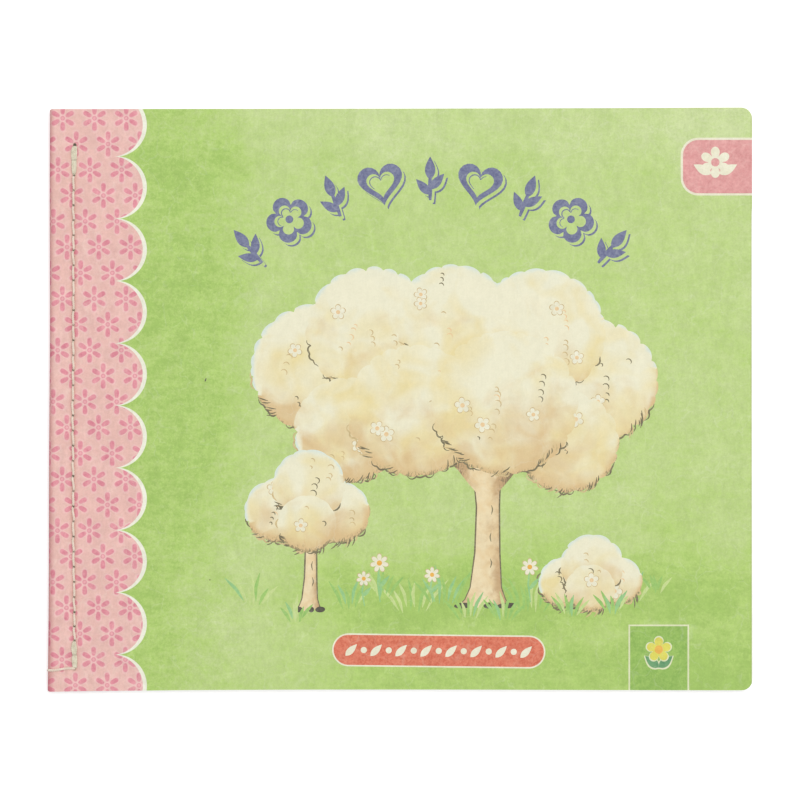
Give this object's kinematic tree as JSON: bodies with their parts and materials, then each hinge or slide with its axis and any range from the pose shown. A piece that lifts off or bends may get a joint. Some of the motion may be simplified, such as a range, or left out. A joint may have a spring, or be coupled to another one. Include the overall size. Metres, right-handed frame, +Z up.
{
  "type": "tear-proof baby book",
  "caption": "Soft stitched baby book of tear-proof synthetic paper: nested folded sheets sewn near the spine, with covers that swing open.",
  "frame": {"origin": "under the middle of the book's bounding box, on the surface that the closed book lies on", "axes": "+X from the spine to the fore-edge, +Y to the head of the page, +Z up out of the front cover"},
  "size_m": [0.1806, 0.1494, 0.0037],
  "materials": {
    "page_sheet": "matt synthetic paper with a fine fibrous surface",
    "cover_print": "matt synthetic paper, printed leaf green",
    "spine_print": "matt synthetic paper, printed pink",
    "seam_thread": "twisted cream sewing thread"
  },
  "bodies": {
    "bound_pages": {"pages": "page_sheet", "spine_wrap": "spine_print", "needle_thread": "seam_thread", "bobbin_thread": "seam_thread"},
    "front_cover": {"front_cover": "cover_print"},
    "back_cover": {"back_cover": "cover_print"}
  },
  "joints": [
    {"name": "front_cover_hinge", "type": "hinge", "parent": "bound_pages", "child": "front_cover", "pos_m": [-0.08083, 0, 0.00294], "axis": [0, -1, 0], "range_deg": [0, 160]},
    {"name": "back_cover_hinge", "type": "hinge", "parent": "bound_pages", "child": "back_cover", "pos_m": [-0.08083, 0, 0.00074], "axis": [0, 1, 0], "range_deg": [0, 160]}
  ]
}
